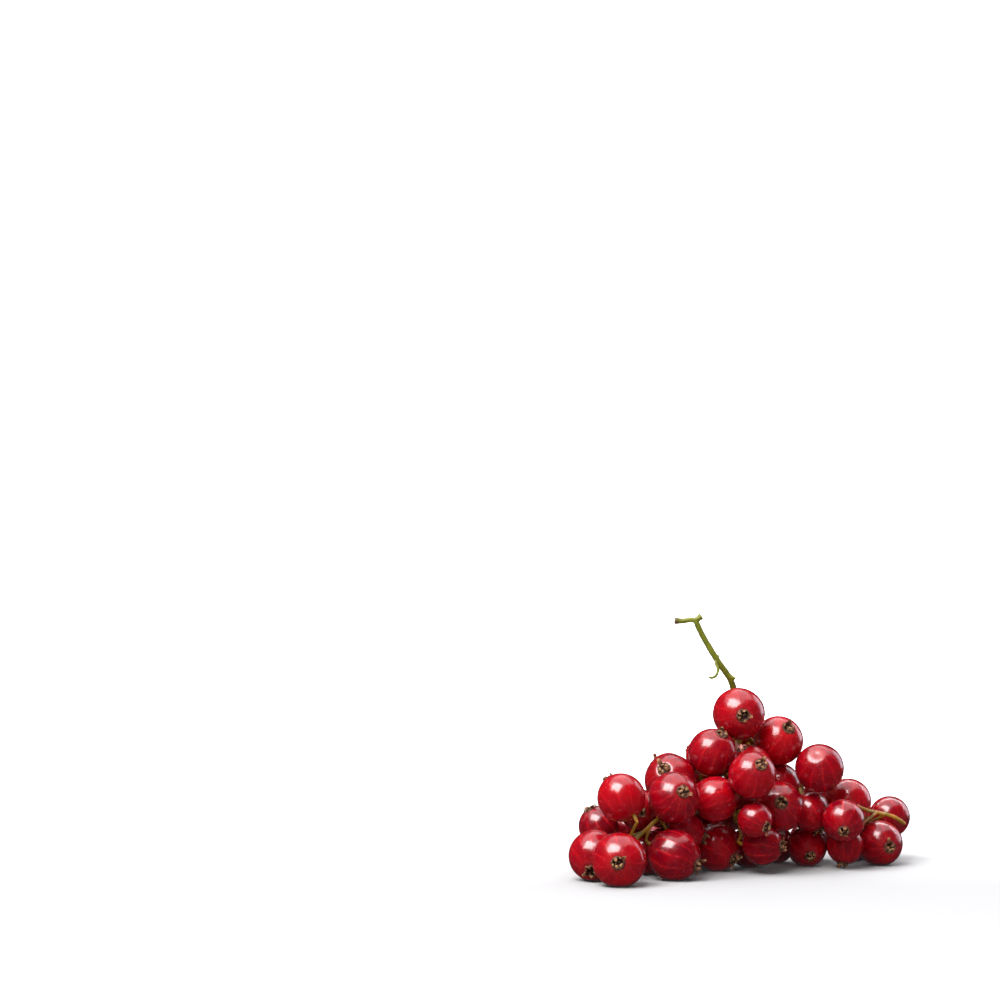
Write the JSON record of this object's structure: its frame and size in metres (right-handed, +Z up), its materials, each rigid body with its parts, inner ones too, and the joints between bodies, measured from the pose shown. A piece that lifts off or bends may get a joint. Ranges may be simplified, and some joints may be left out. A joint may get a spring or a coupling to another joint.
{
  "type": "sprig of redcurrants",
  "caption": "Picked sprig of ripe redcurrants lying in a heap, its green stalk sticking up from the berries.",
  "frame": {"origin": "on the surface that the sprig lies on, under the middle of its bounding box", "axes": "+X along the heap of berries, +Y towards its back, +Z up"},
  "size_m": [0.0714, 0.0618, 0.0518],
  "materials": {
    "redcurrant_skin": "glossy, translucent deep red skin",
    "green_stem": "matt olive green, brown at the cut end",
    "dry_calyx": "dry, brown, crumpled"
  },
  "bodies": {
    "root": {"berry_01": "redcurrant_skin", "berry_02": "redcurrant_skin", "berry_03": "redcurrant_skin", "berry_04": "redcurrant_skin", "berry_05": "redcurrant_skin", "berry_06": "redcurrant_skin", "berry_07": "redcurrant_skin", "berry_08": "redcurrant_skin", "berry_09": "redcurrant_skin", "berry_10": "redcurrant_skin", "berry_11": "redcurrant_skin", "berry_12": "redcurrant_skin", "berry_13": "redcurrant_skin", "berry_14": "redcurrant_skin", "berry_15": "redcurrant_skin", "berry_16": "redcurrant_skin", "berry_17": "redcurrant_skin", "berry_18": "redcurrant_skin", "berry_19": "redcurrant_skin", "berry_20": "redcurrant_skin", "berry_21": "redcurrant_skin", "berry_22": "redcurrant_skin", "berry_23": "redcurrant_skin", "berry_24": "redcurrant_skin", "berry_25": "redcurrant_skin", "berry_26": "redcurrant_skin", "berry_27": "redcurrant_skin", "berry_28": "redcurrant_skin", "berry_29": "redcurrant_skin", "berry_30": "redcurrant_skin", "berry_31": "redcurrant_skin", "berry_32": "redcurrant_skin", "berry_33": "redcurrant_skin", "berry_34": "redcurrant_skin", "berry_35": "redcurrant_skin", "berry_36": "redcurrant_skin", "berry_37": "redcurrant_skin", "berry_38": "redcurrant_skin", "berry_39": "redcurrant_skin", "berry_40": "redcurrant_skin", "berry_41": "redcurrant_skin", "berry_42": "redcurrant_skin", "berry_43": "redcurrant_skin", "berry_44": "redcurrant_skin", "berry_45": "redcurrant_skin", "berry_46": "redcurrant_skin", "berry_47": "redcurrant_skin", "berry_48": "redcurrant_skin", "berry_49": "redcurrant_skin", "berry_50": "redcurrant_skin", "berry_51": "redcurrant_skin", "berry_52": "redcurrant_skin", "berry_53": "redcurrant_skin", "stem": "green_stem"}
  },
  "joints": []
}
